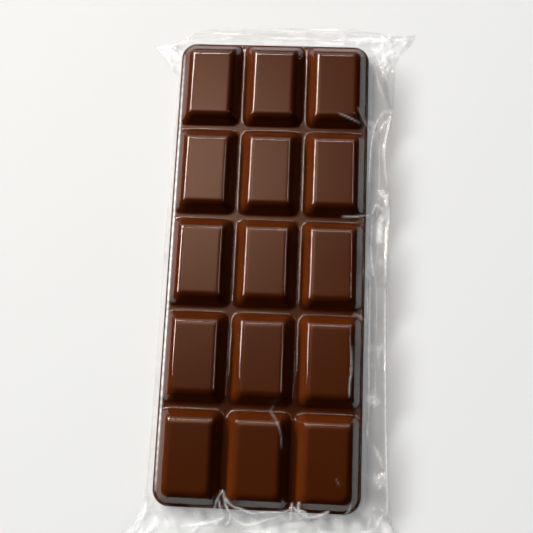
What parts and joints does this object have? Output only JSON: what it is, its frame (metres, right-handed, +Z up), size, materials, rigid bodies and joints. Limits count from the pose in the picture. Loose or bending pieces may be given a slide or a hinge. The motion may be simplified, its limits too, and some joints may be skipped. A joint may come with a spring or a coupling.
{
  "type": "wrapped chocolate bar",
  "caption": "Flat moulded chocolate bar of raised rectangular blocks, lying in a clear sealed film wrapper with flared end seals.",
  "frame": {"origin": "middle of the bar's flat underside, on the surface that it lies on", "axes": "+Y along the bar's length, +X across its width towards the wrapper's slack side, +Z up out of the blocks"},
  "size_m": [0.0985, 0.1912, 0.008],
  "materials": {
    "chocolate": "tempered milk chocolate with a smooth moulded gloss",
    "clear_film": "thin clear polypropylene film, glossy and lightly creased"
  },
  "bodies": {
    "root": {"chocolate_bar": "chocolate", "film_wrap": "clear_film"}
  },
  "joints": []
}
